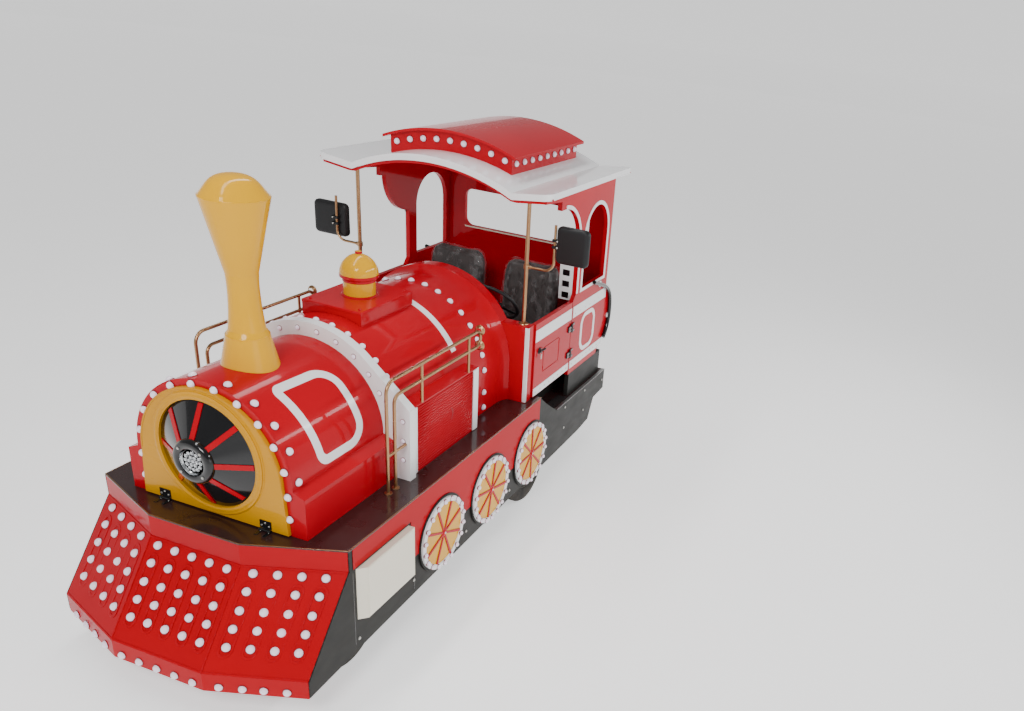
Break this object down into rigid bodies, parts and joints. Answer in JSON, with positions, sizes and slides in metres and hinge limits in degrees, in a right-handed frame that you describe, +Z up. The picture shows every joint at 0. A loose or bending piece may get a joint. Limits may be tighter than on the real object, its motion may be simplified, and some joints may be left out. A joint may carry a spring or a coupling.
{
  "type": "trackless train locomotive",
  "caption": "Rubber-tyred electric amusement-train locomotive dressed as a steam engine, with boiler, chimney, bell, roofed cab, half doors and steered front wheels.",
  "frame": {"origin": "on the ground, midway between the foot of the cowcatcher and the tow eye, on the centre line", "axes": "+X forwards, +Y to the driver's left, +Z up"},
  "size_m": [3.828, 1.91, 2.3499],
  "materials": {
    "red_paint": "gloss",
    "white_paint": "gloss",
    "yellow_paint": "gloss",
    "black_paint": "gloss",
    "cream_panel": "satin",
    "brass_tube": "brushed",
    "chassis_paint": "satin",
    "lamp_lens": "gloss",
    "black_plastic": "satin",
    "hinge_steel": "satin",
    "seat_vinyl": "satin",
    "tyre_rubber": "matte",
    "rim_steel": "satin"
  },
  "bodies": {
    "root": {"battery_pack": "chassis_paint", "bearer_posts": "chassis_paint", "bearers": "chassis_paint", "bell": "yellow_paint", "bell_plinth": "red_paint", "cab_floor": "black_paint", "cab_front_wall": "red_paint", "cab_posts": "brass_tube", "cab_rear_wall": "red_paint", "cab_roof": "white_paint", "cab_sides": "red_paint", "chimney": "yellow_paint", "cowcatcher": "red_paint", "cowcatcher_cheeks": "black_paint", "dummy_wheel_backs": "black_paint", "dummy_wheels": "red_paint", "fixed_hinge_halves": "hinge_steel", "frame_cross_members": "chassis_paint", "frame_rails": "chassis_paint", "front_axle_beam": "chassis_paint", "front_barrel": "red_paint", "handrails": "brass_tube", "light_panels": "cream_panel", "louver_boxes": "red_paint", "lower_panels": "black_paint", "mirrors": "black_plastic", "rear_axle": "chassis_paint", "rear_barrel": "red_paint", "rear_guards": "black_paint", "roof_lantern": "red_paint", "running_deck": "black_paint", "seat_base": "black_paint", "seats": "seat_vinyl", "side_skirts": "black_paint", "steering_column": "chassis_paint", "tow_hitch": "chassis_paint", "valances": "red_paint", "white_hoop": "white_paint"},
    "smokebox_door": {"smokebox_door": "yellow_paint", "grille_cone": "black_paint", "grille_bars": "red_paint", "headlight": "black_plastic", "headlamp_lens": "lamp_lens", "smokebox_hinge_leaves": "hinge_steel"},
    "door_left": {"door_left": "red_paint"},
    "door_right": {"door_right": "red_paint"},
    "steering_wheel": {"steering_wheel": "black_plastic"},
    "knuckle_left": {"knuckle_left": "chassis_paint"},
    "knuckle_right": {"knuckle_right": "chassis_paint"},
    "wheel_front_left": {"tyre_front_left": "tyre_rubber", "rim_front_left": "rim_steel"},
    "wheel_front_right": {"tyre_front_right": "tyre_rubber", "rim_front_right": "rim_steel"},
    "wheel_rear_left": {"tyre_rear_left": "tyre_rubber", "rim_rear_left": "rim_steel"},
    "wheel_rear_right": {"tyre_rear_right": "tyre_rubber", "rim_rear_right": "rim_steel"}
  },
  "joints": [
    {"name": "smokebox_door_hinge", "type": "hinge", "parent": "root", "child": "smokebox_door", "pos_m": [1.466, 0, 0.803], "axis": [0, 1, 0], "range_deg": [0, 70]},
    {"name": "door_left_hinge", "type": "hinge", "parent": "root", "child": "door_left", "pos_m": [-1.086, 0.668, 1.05], "axis": [0, 0, 1], "range_deg": [0, 100]},
    {"name": "door_right_hinge", "type": "hinge", "parent": "root", "child": "door_right", "pos_m": [-1.086, -0.668, 1.05], "axis": [0, 0, -1], "range_deg": [0, 100]},
    {"name": "steer_left", "type": "hinge", "parent": "root", "child": "knuckle_left", "pos_m": [1.28, 0.4, 0.245], "axis": [0, 0, 1], "range_deg": [-25, 25]},
    {"name": "steer_right", "type": "hinge", "parent": "root", "child": "knuckle_right", "pos_m": [1.28, -0.4, 0.245], "axis": [0, 0, 1], "range_deg": [-25, 25]},
    {"name": "steering_wheel_turn", "type": "hinge", "parent": "root", "child": "steering_wheel", "pos_m": [-0.64, 0.29, 1.33], "axis": [-0.766, 0, 0.6428], "range_deg": [-380, 380]},
    {"name": "front_wheel_left_spin", "type": "hinge", "parent": "knuckle_left", "child": "wheel_front_left", "pos_m": [1.28, 0.52, 0.245], "axis": [0, 1, 0], "continuous": true},
    {"name": "rear_wheel_left_spin", "type": "hinge", "parent": "root", "child": "wheel_rear_left", "pos_m": [-0.6, 0.56, 0.245], "axis": [0, 1, 0], "continuous": true},
    {"name": "front_wheel_right_spin", "type": "hinge", "parent": "knuckle_right", "child": "wheel_front_right", "pos_m": [1.28, -0.52, 0.245], "axis": [0, 1, 0], "continuous": true},
    {"name": "rear_wheel_right_spin", "type": "hinge", "parent": "root", "child": "wheel_rear_right", "pos_m": [-0.6, -0.56, 0.245], "axis": [0, 1, 0], "continuous": true}
  ],
  "couplings": [
    {"joint": "steer_right", "follows": "steer_left", "ratio": 1},
    {"joint": "steering_wheel_turn", "follows": "steer_left", "ratio": 15}
  ]
}
